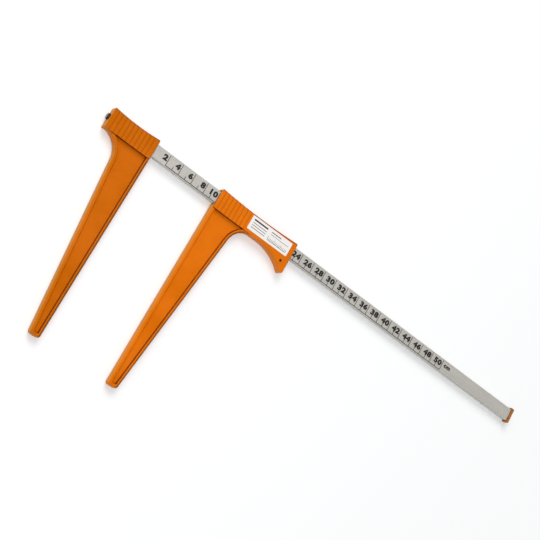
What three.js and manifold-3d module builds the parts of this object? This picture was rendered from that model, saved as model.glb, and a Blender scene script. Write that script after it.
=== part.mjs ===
// Tree caliper: a fixed jaw and a sliding jaw on a graduated beam that reads up to 50 cm.
// Lengths are in millimetres. x runs along the beam from the scale's zero, y across it towards
// the grips, and z up from the beam's middle plane. The outer group then moves its origin to the
// surface that the caliper lies on, under the middle of the fixed head.

import * as THREE from 'three';
import { mergeVertices } from 'three/addons/utils/BufferGeometryUtils.js';
import Module from 'manifold-3d';

// Beam: an extruded bar with two hollow cells and a screw port between them
const BEAM_WIDTH = 17.5;
const BEAM_THICKNESS = 6.5;
const BEAM_BEFORE_ZERO = 62;
const BEAM_PAST_ZERO = 634;
const BEAM_CORNER = 1;
const BEAM_FACE_WALL = 1.2;
const BEAM_EDGE_WALL = 1.3;
const PORT_DIAMETER = 4.2;
const PORT_WALL = 1.1;
const CELL_CORNER = 0.5;

// Reading of the scale in the modelled pose
const READING = 100;

// Legs of both jaws: a recessed web inside a raised rim
const FACE_LEAD = 1;
const JAW_REACH = 261.5;
const LEG_TIP_WIDTH = 14.5;
const LEG_ROOT_WIDTH = 44.4;
const LEG_THICKNESS = 10;
const LEG_RIM = 4.4;
const LEG_WEB = 4;
const TIP_INNER_RADIUS = 1.2;
const TIP_OUTER_RADIUS = 3.5;
const RECESS_CORNER = 1.5;

// Heads of both jaws
const HEAD_THICKNESS = 14;
const HEAD_LOWER_WALL = 5.7;
const FIXED_UPPER_WALL = 4.9;
const FIXED_HEAD_LENGTH = 68.9;
const FIXED_HEAD_DIP = 2;
const FIXED_FILLET = 29;
const SLIDE_UPPER_WALL = 4.3;
const SLIDE_HEAD_LENGTH = 125.2;
const SLIDE_HEAD_DIP = 2.25;
const SLIDE_FILLET = 26;

// Finger hook at the sliding head's rear
const FINGER_START = 72.5;
const FINGER_RADIUS = 81;
const FINGER_RUN = 47;
const HOOK_TIP_RADIUS = 2;

// Clearances
const SEAT_GAP = 0.1;
const GLIDE_GAP = 0.15;
const SOCKET_GAP = 0.2;
const BORE_GAP = 0.4;
const OVERRUN = 1;

// Screws through the fixed head's end wall and the end cap, and the washer
const SCREW_DIAMETER = 4;
const SCREW_HEAD_DIAMETER = 7.8;
const SCREW_HEAD_HEIGHT = 2.2;
const SCREW_SOCKET = 3;
const SCREW_SOCKET_DEPTH = 1.4;
const SCREW_GRIP = 14;
const WASHER_DIAMETER = 9;
const WASHER_THICKNESS = 0.8;

// Clamp screws in threaded inserts, in the back of the fixed head
const CLAMP_DISTANCE = 14;
const CLAMP_DIAMETER = 4;
const CLAMP_SOCKET = 2;
const CLAMP_SOCKET_DEPTH = 1.5;
const CLAMP_RECESS = 0.3;
const INSERT_DIAMETER = 5.6;
const INSERT_LENGTH = 3.2;

// Glide shoes: short channels that hold the beam's two edges at both ends of the sleeve
const SHOE_LENGTH = 16;
const SHOE_CROWN = 1;
const SHOE_CHEEK = 0.9;
const SHOE_GRASP = 3;
const SHOE_INSET = 0.5;
const DIMPLE_DEPTH = 0.5;
const PEG_DIAMETER = 4;
const PEG_LENGTH = 2.5;

// Adjusting screws of the upper shoes
const ADJUSTER_DIAMETER = 3;
const ADJUSTER_LENGTH = 2;
const ADJUSTER_SOCKET = 1.5;
const ADJUSTER_SOCKET_DEPTH = 1;
const ADJUSTER_TRAVEL = 0.5;

// Cross pin that holds the rear lower shoe by its stem
const PIN_DIAMETER = 3.5;
const PIN_RECESS = 0.5;
const PIN_FROM_REAR = 10.8;
const PIN_BELOW_BEAM = 9.9;
const STEM_WIDTH = 7;
const STEM_THICKNESS = 3.6;
const STEM_END_WALL = 1.6;

// Leaf spring that steadies the sliding jaw on the back of the beam
const SPRING_CHORD = 42;
const SPRING_WIDTH = 8;
const SPRING_THICKNESS = 0.4;
const SPRING_RISE = 1.4;

// End cap with a tongue in each hollow cell
const CAP_WIDTH = 21.7;
const CAP_HEIGHT = 9.5;
const CAP_THICKNESS = 4.3;
const CAP_CORNER = 1.5;
const CAP_SCREW_RECESS = 2.6;
const TONGUE_LENGTH = 12;

// Label on the face of the sliding head
const LABEL_LENGTH = 65.9;
const LABEL_WIDTH = 19.4;
const LABEL_THICKNESS = 0.15;
const LABEL_FROM_REAR = 7.1;
const LABEL_DROP = 0.75;

// Smoothness of arcs and round pieces
const ARC_SEGMENTS = 8;
const ROUND_SEGMENTS = 24;
const HEXAGON_SIDES = 6;

// Places that follow from the sizes
const HALF_WIDTH = BEAM_WIDTH / 2;
const HALF_BEAM = BEAM_THICKNESS / 2;
const HALF_HEAD = HEAD_THICKNESS / 2;
const FIXED_HEAD_TOP = HALF_WIDTH + FIXED_UPPER_WALL;
const SLIDE_HEAD_TOP = HALF_WIDTH + SLIDE_UPPER_WALL;
const HEAD_BOTTOM = -HALF_WIDTH - HEAD_LOWER_WALL;
const TIP_Y = -HALF_WIDTH - JAW_REACH;
const FIXED_HEAD_FRONT = -2 * FACE_LEAD;
const FIXED_HEAD_END = FIXED_HEAD_FRONT - FIXED_HEAD_LENGTH;
const SHOE_OUTSIDE = HALF_WIDTH + GLIDE_GAP + SHOE_CROWN;
const SHOE_HALF_HEIGHT = HALF_BEAM + GLIDE_GAP + SHOE_CHEEK;
const PIN_X = SLIDE_HEAD_LENGTH - PIN_FROM_REAR;
const PIN_Y = -HALF_WIDTH - PIN_BELOW_BEAM;
const STEM_BOTTOM = PIN_Y - PIN_DIAMETER / 2 - STEM_END_WALL;
const SPRING_POCKET_FLOOR = HALF_BEAM + SEAT_GAP + SPRING_RISE + SPRING_THICKNESS + SEAT_GAP;

// Materials
const ORANGE_PLASTIC = new THREE.MeshStandardMaterial({ color: 0xcf6a0c, roughness: 0.45, metalness: 0 });
const CAP_PLASTIC = new THREE.MeshStandardMaterial({ color: 0xb8621a, roughness: 0.5, metalness: 0 });
const ALUMINIUM = new THREE.MeshStandardMaterial({ color: 0xb5b2ab, roughness: 0.5, metalness: 0.6 });
const STEEL = new THREE.MeshStandardMaterial({ color: 0x8d8f92, roughness: 0.35, metalness: 1 });
const DARK_STEEL = new THREE.MeshStandardMaterial({ color: 0x2b2b2d, roughness: 0.5, metalness: 0.9 });
const BRASS = new THREE.MeshStandardMaterial({ color: 0xb5913f, roughness: 0.4, metalness: 1 });
const NYLON = new THREE.MeshStandardMaterial({ color: 0x1d1d1f, roughness: 0.6, metalness: 0 });
const LABEL_PAPER = new THREE.MeshStandardMaterial({ color: 0xf1eeee, roughness: 0.4, metalness: 0 });

const wasm = await Module();
wasm.setup();

// A closed geometry as a solid that can be cut and joined
function solidOf(geometry) {
  const bare = geometry.clone();
  bare.deleteAttribute('normal');
  bare.deleteAttribute('uv');
  const merged = mergeVertices(bare);
  const vertProperties = new Float32Array(merged.attributes.position.array);
  const triVerts = new Uint32Array(merged.index.array);
  return new wasm.Manifold(new wasm.Mesh({ numProp: 3, vertProperties, triVerts }));
}

// A solid as a geometry
function geometryOf(solid) {
  const mesh = solid.getMesh();
  const geometry = new THREE.BufferGeometry();
  geometry.setAttribute('position', new THREE.BufferAttribute(mesh.vertProperties, 3));
  geometry.setIndex(new THREE.BufferAttribute(mesh.triVerts, 1));
  const faceted = geometry.toNonIndexed();
  faceted.computeVertexNormals();
  return faceted;
}

// A box between two values on each axis
function block(x0, x1, y0, y1, z0, z1) {
  const geometry = new THREE.BoxGeometry(x1 - x0, y1 - y0, z1 - z0);
  return geometry.translate((x0 + x1) / 2, (y0 + y1) / 2, (z0 + z1) / 2);
}

// A rod with its axis along y, from y0 to y1
function rod(diameter, y0, y1, sides = ROUND_SEGMENTS) {
  const geometry = new THREE.CylinderGeometry(diameter / 2, diameter / 2, y1 - y0, sides);
  return geometry.translate(0, (y0 + y1) / 2, 0);
}

// The rod that cuts a hexagon socket, its width across the flats
function hexagonRod(acrossFlats, y0, y1) {
  const acrossCorners = acrossFlats / Math.cos(Math.PI / HEXAGON_SIDES);
  return rod(acrossCorners, y0, y1, HEXAGON_SIDES);
}

// A shape pushed out along z
function extrude(shape, depth) {
  return new THREE.ExtrudeGeometry(shape, { depth, bevelEnabled: false, curveSegments: ARC_SEGMENTS });
}

// A flat plate of a shape drawn in x and y, centred on the middle plane
function plate(shape, thickness) {
  return extrude(shape, thickness).translate(0, 0, -thickness / 2);
}

// A bar along x from x0 to x1, of a section drawn with its height across and its width up
function barAlongX(section, x0, x1) {
  return extrude(section, x1 - x0).rotateY(Math.PI / 2).translate(x0, 0, 0);
}

// The same, for a shape drawn in x and z, centred across y
function stripAcrossY(shape, width) {
  return extrude(shape, width).rotateX(Math.PI / 2).translate(0, width / 2, 0);
}

// A rectangle with round corners
function roundedRectangle(width, height, radius, middleX = 0, middleY = 0) {
  const x = width / 2 - radius;
  const y = height / 2 - radius;
  const shape = new THREE.Shape();
  shape.absarc(middleX + x, middleY + y, radius, 0, Math.PI / 2);
  shape.absarc(middleX - x, middleY + y, radius, Math.PI / 2, Math.PI);
  shape.absarc(middleX - x, middleY - y, radius, Math.PI, 3 * Math.PI / 2);
  shape.absarc(middleX + x, middleY - y, radius, 3 * Math.PI / 2, 2 * Math.PI);
  return shape;
}

// Carries a path on to a corner and round it towards the next point
function roundCorner(path, corner, next, radius) {
  const back = path.currentPoint.clone().sub(corner).normalize();
  const ahead = next.clone().sub(corner).normalize();
  const half = Math.acos(back.dot(ahead)) / 2;
  const middle = back.clone().add(ahead).normalize();
  const centre = corner.clone().addScaledVector(middle, radius / Math.sin(half));
  const first = corner.clone().addScaledVector(back, radius / Math.tan(half)).sub(centre);
  const last = corner.clone().addScaledVector(ahead, radius / Math.tan(half)).sub(centre);
  path.absarc(centre.x, centre.y, radius, first.angle(), last.angle(), back.cross(ahead) > 0);
}

// Carries a path along the hollow top of a head, from its right corner to its left
function hollowTop(path, left, right, top, dip) {
  const half = (right - left) / 2;
  const radius = (half * half + dip * dip) / (2 * dip);
  const swing = Math.asin(half / radius);
  const centreY = top - dip + radius;
  path.absarc(left + half, centreY, radius, swing - Math.PI / 2, -swing - Math.PI / 2, true);
}

// Places pieces drawn from the measuring face outwards: the fixed jaw is turned half round
const fixedSide = new THREE.Matrix4().makeRotationY(Math.PI).setPosition(-FACE_LEAD, 0, 0);
const slidingSide = new THREE.Matrix4().makeTranslation(-FACE_LEAD, 0, 0);

// Outline of a leg, from the measuring face to the outer line and the fillet into the head.
// The inset moves it inwards, which gives the outline of the recess inside the rim.
function legShape(fillet, inset, innerRadius, outerRadius) {
  const slope = (LEG_ROOT_WIDTH - LEG_TIP_WIDTH) / JAW_REACH;
  const lean = Math.atan(slope);
  const outerLine = (y) => LEG_TIP_WIDTH + slope * (y - TIP_Y) - inset / Math.cos(lean);
  const top = -HALF_WIDTH - SOCKET_GAP;
  const bottom = TIP_Y + inset;
  const centreY = HEAD_BOTTOM - fillet;
  const centreX = outerLine(centreY) + (fillet + inset) / Math.cos(lean);
  const innerCorner = new THREE.Vector2(inset, bottom);
  const outerCorner = new THREE.Vector2(outerLine(bottom), bottom);
  const shape = new THREE.Shape();
  shape.moveTo(centreX, top);
  shape.lineTo(inset, top);
  roundCorner(shape, innerCorner, outerCorner, innerRadius);
  roundCorner(shape, outerCorner, new THREE.Vector2(outerLine(0), 0), outerRadius);
  shape.absarc(centreX, centreY, fillet + inset, Math.PI - lean, Math.PI / 2, true);
  return shape;
}

// Outline of the fixed head
function fixedHeadShape() {
  const end = FACE_LEAD + FIXED_HEAD_LENGTH;
  const shape = new THREE.Shape();
  shape.moveTo(FACE_LEAD, 0);
  shape.lineTo(FACE_LEAD, HEAD_BOTTOM);
  shape.lineTo(end, HEAD_BOTTOM);
  hollowTop(shape, FACE_LEAD, end, FIXED_HEAD_TOP, FIXED_HEAD_DIP);
  return shape;
}

// Outline of the sliding head, with the finger curve that ends in the hook
function slidingHeadShape() {
  const end = FACE_LEAD + SLIDE_HEAD_LENGTH;
  const centreX = FACE_LEAD + FINGER_START;
  const centreY = HEAD_BOTTOM - FINGER_RADIUS;
  const turn = Math.asin(FINGER_RUN / FINGER_RADIUS);
  const left = centreX + FINGER_RUN;
  const drop = FINGER_RADIUS * Math.cos(turn) - (end - left) * Math.tan(turn);
  const shape = new THREE.Shape();
  shape.moveTo(FACE_LEAD, 0);
  shape.lineTo(FACE_LEAD, HEAD_BOTTOM);
  shape.absarc(centreX, centreY, FINGER_RADIUS, Math.PI / 2, Math.PI / 2 - turn, true);
  roundCorner(shape, new THREE.Vector2(end, centreY + drop), new THREE.Vector2(end, 0), HOOK_TIP_RADIUS);
  hollowTop(shape, FACE_LEAD, end, SLIDE_HEAD_TOP, SLIDE_HEAD_DIP);
  return shape;
}

// A jaw before its bores: the rimmed leg and the thicker head in one
function jawBlank(headShape, fillet, side) {
  const leg = plate(legShape(fillet, 0, TIP_INNER_RADIUS, TIP_OUTER_RADIUS), LEG_THICKNESS);
  const recess = legShape(fillet, LEG_RIM, RECESS_CORNER, RECESS_CORNER);
  const front = extrude(recess, LEG_THICKNESS).translate(0, 0, LEG_WEB / 2);
  const back = extrude(recess, LEG_THICKNESS).translate(0, 0, -LEG_WEB / 2 - LEG_THICKNESS);
  const head = plate(headShape, HEAD_THICKNESS);
  const placed = [leg, front, back, head].map((geometry) => solidOf(geometry.applyMatrix4(side)));
  return placed[0].subtract(placed[1]).subtract(placed[2]).add(placed[3]);
}

// Beam
function beamGeometry() {
  const section = roundedRectangle(BEAM_THICKNESS, BEAM_WIDTH, BEAM_CORNER);
  section.holes = [-1, 1].map((side) => cellShape(side, 0));
  const port = new THREE.Path();
  port.absarc(0, 0, PORT_DIAMETER / 2, 0, 2 * Math.PI);
  section.holes.push(port);
  return barAlongX(section, -BEAM_BEFORE_ZERO, BEAM_PAST_ZERO);
}

// Section of a hollow cell, made smaller all round by a margin
function cellShape(side, margin) {
  const inner = PORT_DIAMETER / 2 + PORT_WALL;
  const outer = HALF_WIDTH - BEAM_EDGE_WALL;
  const height = BEAM_THICKNESS - 2 * BEAM_FACE_WALL - 2 * margin;
  return roundedRectangle(height, outer - inner - 2 * margin, CELL_CORNER, 0, side * (inner + outer) / 2);
}

// Places of the clamp screws along x
function clampPlaces() {
  return [FIXED_HEAD_FRONT - CLAMP_DISTANCE, CLAMP_DISTANCE - BEAM_BEFORE_ZERO];
}

// Fixed jaw, with the socket for the beam and the holes for its screws
function fixedJawGeometry() {
  const socket = block(
    -BEAM_BEFORE_ZERO - SOCKET_GAP, FIXED_HEAD_FRONT + OVERRUN,
    -HALF_WIDTH - SOCKET_GAP, HALF_WIDTH + SOCKET_GAP,
    -HALF_BEAM - SOCKET_GAP, HALF_BEAM + SOCKET_GAP,
  );
  const screwHole = rod(SCREW_DIAMETER + 2 * SOCKET_GAP, FIXED_HEAD_END - OVERRUN, -BEAM_BEFORE_ZERO);
  let jaw = jawBlank(fixedHeadShape(), FIXED_FILLET, fixedSide).subtract(solidOf(socket));
  jaw = jaw.subtract(solidOf(screwHole.rotateZ(-Math.PI / 2)));
  for (const x of clampPlaces()) {
    const hole = rod(INSERT_DIAMETER + 2 * SEAT_GAP, HALF_BEAM, HALF_HEAD + OVERRUN);
    jaw = jaw.subtract(solidOf(hole.rotateX(-Math.PI / 2).translate(x, 0, 0)));
  }
  return geometryOf(jaw);
}

// Places of the shoes' near ends along x
function shoeStarts() {
  return [SHOE_INSET, SLIDE_HEAD_LENGTH - SHOE_INSET - SHOE_LENGTH];
}

// Sliding jaw, with its bore, the seats of the shoes and screws, and the spring's pocket
function slidingJawGeometry() {
  const length = SLIDE_HEAD_LENGTH;
  const cuts = [block(
    -FACE_LEAD - OVERRUN, length + OVERRUN,
    -HALF_WIDTH - BORE_GAP, HALF_WIDTH + BORE_GAP,
    -HALF_BEAM - BORE_GAP, HALF_BEAM + BORE_GAP,
  )];
  const cheek = SHOE_HALF_HEIGHT + GLIDE_GAP;
  const lip = HALF_WIDTH - SHOE_GRASP - GLIDE_GAP;
  const roof = SHOE_OUTSIDE + ADJUSTER_TRAVEL + SEAT_GAP;
  const seatEnd = SHOE_INSET + SHOE_LENGTH + SEAT_GAP;
  for (const [x0, x1] of [[-OVERRUN, seatEnd], [length - seatEnd, length + OVERRUN]]) {
    cuts.push(block(x0, x1, lip, roof, -cheek, cheek));
    cuts.push(block(x0, x1, -SHOE_OUTSIDE - SEAT_GAP, -lip, -cheek, cheek));
  }
  for (const start of shoeStarts()) {
    const hole = rod(ADJUSTER_DIAMETER + 2 * SEAT_GAP, HALF_WIDTH, SLIDE_HEAD_TOP + OVERRUN);
    cuts.push(hole.translate(start + SHOE_LENGTH / 2, 0, 0));
  }
  const peg = rod(PEG_DIAMETER + 2 * GLIDE_GAP, -SHOE_OUTSIDE - PEG_LENGTH - GLIDE_GAP, -HALF_WIDTH);
  cuts.push(peg.translate(SHOE_INSET + SHOE_LENGTH / 2, 0, 0));
  const stemHalf = STEM_WIDTH / 2 + GLIDE_GAP;
  const stemSide = STEM_THICKNESS / 2 + GLIDE_GAP;
  cuts.push(block(PIN_X - stemHalf, PIN_X + stemHalf, STEM_BOTTOM - GLIDE_GAP, -HALF_WIDTH, -stemSide, stemSide));
  const pinHole = rod(PIN_DIAMETER + 2 * SEAT_GAP, -HALF_HEAD - OVERRUN, HALF_HEAD + OVERRUN);
  cuts.push(pinHole.rotateX(Math.PI / 2).translate(PIN_X, PIN_Y, 0));
  const pocketHalf = SPRING_CHORD / 2 + OVERRUN;
  const pocketSide = SPRING_WIDTH / 2 + GLIDE_GAP;
  cuts.push(block(
    length / 2 - pocketHalf, length / 2 + pocketHalf, -pocketSide, pocketSide, -SPRING_POCKET_FLOOR, -HALF_BEAM,
  ));
  let jaw = jawBlank(slidingHeadShape(), SLIDE_FILLET, slidingSide);
  for (const cut of cuts) {
    jaw = jaw.subtract(solidOf(cut));
  }
  return geometryOf(jaw);
}

// A channel that holds the beam's upper edge, its near end at x = 0
function shoeChannel() {
  const insideHalf = HALF_BEAM + GLIDE_GAP;
  const body = block(
    0, SHOE_LENGTH, HALF_WIDTH - SHOE_GRASP, SHOE_OUTSIDE, -SHOE_HALF_HEIGHT, SHOE_HALF_HEIGHT,
  );
  const inside = block(-OVERRUN, SHOE_LENGTH + OVERRUN, 0, HALF_WIDTH + GLIDE_GAP, -insideHalf, insideHalf);
  return solidOf(body).subtract(solidOf(inside));
}

// Upper shoe, with the dimple that its adjusting screw presses in
function upperShoeGeometry() {
  const dimple = rod(ADJUSTER_DIAMETER + 2 * GLIDE_GAP, SHOE_OUTSIDE - DIMPLE_DEPTH, SHOE_OUTSIDE + OVERRUN);
  return geometryOf(shoeChannel().subtract(solidOf(dimple.translate(SHOE_LENGTH / 2, 0, 0))));
}

// The channel turned over to the beam's lower edge
function lowerChannel() {
  return solidOf(geometryOf(shoeChannel()).rotateX(Math.PI));
}

// Front lower shoe, with the peg that keeps it in its seat
function frontLowerShoeGeometry() {
  const peg = rod(PEG_DIAMETER, -SHOE_OUTSIDE - PEG_LENGTH, GLIDE_GAP - SHOE_OUTSIDE);
  return geometryOf(lowerChannel().add(solidOf(peg.translate(SHOE_LENGTH / 2, 0, 0))));
}

// Rear lower shoe, with the stem that the cross pin goes through
function rearLowerShoeGeometry() {
  const start = shoeStarts()[1];
  const middle = PIN_X - start;
  const stem = block(
    middle - STEM_WIDTH / 2, middle + STEM_WIDTH / 2, STEM_BOTTOM, GLIDE_GAP - SHOE_OUTSIDE,
    -STEM_THICKNESS / 2, STEM_THICKNESS / 2,
  );
  const hole = rod(PIN_DIAMETER + 2 * SEAT_GAP, -STEM_THICKNESS, STEM_THICKNESS);
  const pinHole = solidOf(hole.rotateX(Math.PI / 2).translate(middle, PIN_Y, 0));
  return geometryOf(lowerChannel().add(solidOf(stem)).subtract(pinHole));
}

// A screw without a head, its socket end at y = 0
function grubScrewGeometry(diameter, length, socket, socketDepth) {
  const body = solidOf(rod(diameter, -length, 0));
  return geometryOf(body.subtract(solidOf(hexagonRod(socket, -socketDepth, OVERRUN))));
}

// A screw with a cheese head, the head's seat at y = 0 and its shank below
function headedScrewGeometry(shankLength) {
  const head = solidOf(rod(SCREW_HEAD_DIAMETER, 0, SCREW_HEAD_HEIGHT));
  const shank = solidOf(rod(SCREW_DIAMETER, -shankLength, SCREW_HEAD_HEIGHT / 2));
  const socketFloor = SCREW_HEAD_HEIGHT - SCREW_SOCKET_DEPTH;
  const socket = solidOf(hexagonRod(SCREW_SOCKET, socketFloor, SCREW_HEAD_HEIGHT + OVERRUN));
  return geometryOf(head.add(shank).subtract(socket));
}

// A ring with its axis along y, from y = 0 up
function ringGeometry(outerDiameter, innerDiameter, height) {
  const profile = [
    new THREE.Vector2(innerDiameter / 2, 0),
    new THREE.Vector2(outerDiameter / 2, 0),
    new THREE.Vector2(outerDiameter / 2, height),
    new THREE.Vector2(innerDiameter / 2, height),
    new THREE.Vector2(innerDiameter / 2, 0),
  ];
  return new THREE.LatheGeometry(profile, ROUND_SEGMENTS);
}

// The bowed leaf spring, with the top of its bow at z = 0
function springGeometry() {
  const half = SPRING_CHORD / 2;
  const radius = (half * half + SPRING_RISE * SPRING_RISE) / (2 * SPRING_RISE);
  const swing = Math.asin(half / radius);
  const centreZ = -SPRING_THICKNESS - radius;
  const shape = new THREE.Shape();
  const [left, right] = [Math.PI / 2 + swing, Math.PI / 2 - swing];
  shape.absarc(0, centreZ, radius + SPRING_THICKNESS, left, right, true);
  shape.absarc(0, centreZ, radius, right, left, false);
  return stripAcrossY(shape, SPRING_WIDTH);
}

// End cap, with its tongues and the recess for its screw
function endCapGeometry() {
  const inner = BEAM_PAST_ZERO + SEAT_GAP;
  const outer = inner + CAP_THICKNESS;
  let cap = solidOf(barAlongX(roundedRectangle(CAP_HEIGHT, CAP_WIDTH, CAP_CORNER), inner, outer));
  for (const side of [-1, 1]) {
    const tongue = barAlongX(cellShape(side, GLIDE_GAP), inner - TONGUE_LENGTH, inner + CAP_THICKNESS / 2);
    cap = cap.add(solidOf(tongue));
  }
  const recess = rod(SCREW_HEAD_DIAMETER + 2 * SOCKET_GAP, outer - CAP_SCREW_RECESS, outer + OVERRUN);
  const hole = rod(SCREW_DIAMETER + 2 * SOCKET_GAP, inner - OVERRUN, outer);
  for (const cut of [recess, hole]) {
    cap = cap.subtract(solidOf(cut.rotateZ(-Math.PI / 2)));
  }
  return geometryOf(cap);
}

// A named piece at a place
function piece(name, geometry, material, x = 0, y = 0, z = 0) {
  const mesh = new THREE.Mesh(geometry, material);
  mesh.name = name;
  mesh.position.set(x, y, z);
  return mesh;
}

// A piece made along y, turned to lie along another axis
function turned(mesh, axis, angle) {
  mesh.rotation[axis] = angle;
  return mesh;
}

// What stays with the beam: the fixed jaw, its screws, and the end cap
function fixedPieces() {
  const washerX = FIXED_HEAD_END - SEAT_GAP;
  const headX = washerX - WASHER_THICKNESS - SEAT_GAP;
  const shank = SCREW_GRIP - BEAM_BEFORE_ZERO - headX;
  const washer = ringGeometry(WASHER_DIAMETER, SCREW_DIAMETER + 2 * SOCKET_GAP, WASHER_THICKNESS);
  const capSeat = BEAM_PAST_ZERO + SEAT_GAP + CAP_THICKNESS - CAP_SCREW_RECESS + SEAT_GAP;
  const capShank = capSeat - BEAM_PAST_ZERO + SCREW_GRIP;
  const pieces = [
    piece('beam', beamGeometry(), ALUMINIUM),
    piece('fixed_jaw', fixedJawGeometry(), ORANGE_PLASTIC),
    turned(piece('fixed_jaw_washer', washer, DARK_STEEL, washerX), 'z', Math.PI / 2),
    turned(piece('fixed_jaw_screw', headedScrewGeometry(shank), DARK_STEEL, headX), 'z', Math.PI / 2),
    piece('end_cap', endCapGeometry(), CAP_PLASTIC),
    turned(piece('end_cap_screw', headedScrewGeometry(capShank), STEEL, capSeat), 'z', -Math.PI / 2),
  ];
  const names = ['inner', 'outer'];
  const insertStart = HALF_HEAD - CLAMP_RECESS - INSERT_LENGTH;
  const screwLength = HALF_HEAD - CLAMP_RECESS - HALF_BEAM - SEAT_GAP;
  clampPlaces().forEach((x, index) => {
    const insert = ringGeometry(INSERT_DIAMETER, CLAMP_DIAMETER + 2 * SEAT_GAP, INSERT_LENGTH);
    const screw = grubScrewGeometry(CLAMP_DIAMETER, screwLength, CLAMP_SOCKET, CLAMP_SOCKET_DEPTH);
    const insertPiece = piece(`clamp_insert_${names[index]}`, insert, BRASS, x, 0, -insertStart);
    const screwPiece = piece(`clamp_screw_${names[index]}`, screw, DARK_STEEL, x, 0, CLAMP_RECESS - HALF_HEAD);
    pieces.push(turned(insertPiece, 'x', -Math.PI / 2));
    pieces.push(turned(screwPiece, 'x', -Math.PI / 2));
  });
  return pieces;
}

// What moves with the sliding jaw, with x from the edge that is read against the scale
function slidingPieces() {
  const [frontStart, rearStart] = shoeStarts();
  const screwTop = SHOE_OUTSIDE - DIMPLE_DEPTH + SEAT_GAP + ADJUSTER_LENGTH;
  const labelX = SLIDE_HEAD_LENGTH - LABEL_FROM_REAR - LABEL_LENGTH / 2;
  const label = new THREE.BoxGeometry(LABEL_LENGTH, LABEL_WIDTH, LABEL_THICKNESS);
  const labelZ = HALF_HEAD + SEAT_GAP / 2 + LABEL_THICKNESS / 2;
  const pin = rod(PIN_DIAMETER, PIN_RECESS - HALF_HEAD, HALF_HEAD - PIN_RECESS);
  const pieces = [
    piece('sliding_jaw', slidingJawGeometry(), ORANGE_PLASTIC),
    piece('front_lower_shoe', frontLowerShoeGeometry(), NYLON, frontStart),
    piece('rear_lower_shoe', rearLowerShoeGeometry(), NYLON, rearStart),
    turned(piece('rear_shoe_pin', pin, DARK_STEEL, PIN_X, PIN_Y), 'x', Math.PI / 2),
    piece('friction_spring', springGeometry(), STEEL, SLIDE_HEAD_LENGTH / 2, 0, -HALF_BEAM - SEAT_GAP),
    piece('label', label, LABEL_PAPER, labelX, -LABEL_DROP, labelZ),
  ];
  for (const [name, start] of [['front', frontStart], ['rear', rearStart]]) {
    const screw = grubScrewGeometry(ADJUSTER_DIAMETER, ADJUSTER_LENGTH, ADJUSTER_SOCKET, ADJUSTER_SOCKET_DEPTH);
    pieces.push(piece(`${name}_upper_shoe`, upperShoeGeometry(), NYLON, start));
    pieces.push(piece(`${name}_adjusting_screw`, screw, DARK_STEEL, start + SHOE_LENGTH / 2, screwTop));
  }
  return pieces;
}

const slider = new THREE.Group();
slider.add(...slidingPieces());
slider.position.x = READING;

const caliper = new THREE.Group();
caliper.add(...fixedPieces(), slider);
caliper.position.set(FIXED_HEAD_LENGTH / 2 - FIXED_HEAD_FRONT, 0, HALF_HEAD);

const group = new THREE.Group();
group.add(caliper);

export default group;
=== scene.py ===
"""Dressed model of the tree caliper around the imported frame, in a plain studio.

Sizes are in millimetres in the part's frame: x runs along the beam, y across it towards the
grips, and z up from the surface that the caliper lies on. Meshes are written in metres.
"""

import logging
import math
from collections.abc import Iterable, Sequence
from dataclasses import dataclass, field
from enum import Enum
from typing import Union

import bmesh
import bpy
from mathutils import Matrix, Vector


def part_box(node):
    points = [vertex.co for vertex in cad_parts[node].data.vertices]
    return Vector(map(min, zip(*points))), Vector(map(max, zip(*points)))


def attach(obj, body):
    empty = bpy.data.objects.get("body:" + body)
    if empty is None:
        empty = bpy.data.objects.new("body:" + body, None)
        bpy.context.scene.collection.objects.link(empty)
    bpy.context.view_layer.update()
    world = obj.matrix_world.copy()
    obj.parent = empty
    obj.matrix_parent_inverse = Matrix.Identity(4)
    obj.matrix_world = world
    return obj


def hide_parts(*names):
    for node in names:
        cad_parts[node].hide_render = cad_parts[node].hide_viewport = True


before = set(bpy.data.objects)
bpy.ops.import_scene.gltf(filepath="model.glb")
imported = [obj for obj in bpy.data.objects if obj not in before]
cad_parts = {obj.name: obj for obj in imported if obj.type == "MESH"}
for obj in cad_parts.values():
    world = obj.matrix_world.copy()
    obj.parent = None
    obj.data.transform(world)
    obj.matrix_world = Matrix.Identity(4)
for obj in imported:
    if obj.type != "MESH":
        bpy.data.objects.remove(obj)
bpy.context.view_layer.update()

log = logging.getLogger("tree_caliper")

MM = 0.001
SCALE_ZERO = 36.45
MID_PLANE = 7.0
READING = 100.0
BEAM_HALF_WIDTH = 8.75
BEAM_HALF_THICKNESS = 3.25
FAR_END = -1e-6  # a profile's distance at its far end
FIXED_BODY = "beam_and_fixed_jaw"
SLIDING_BODY = "slider"

Colour = tuple[float, float, float]
Point = tuple[float, float]
Triple = tuple[float, float, float]
Number = Union[float, "Value"]
Piece = bpy.types.Object
Material = bpy.types.Material

WHITE: Colour = (1.0, 1.0, 1.0)


class Join(Enum):
    """Ways of combining two solids."""

    ADD = "UNION"
    CUT = "DIFFERENCE"


class Along(Enum):
    """Directions that a turned piece can point in."""

    LEFT = (-1.0, 0.0, 0.0)
    RIGHT = (1.0, 0.0, 0.0)
    UP = (0.0, 0.0, 1.0)
    DOWN = (0.0, 0.0, -1.0)
    ACROSS = (0.0, 1.0, 0.0)


def opaque(colour: Colour) -> tuple[float, float, float, float]:
    """Give a colour its alpha."""
    return (*colour, 1.0)


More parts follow.
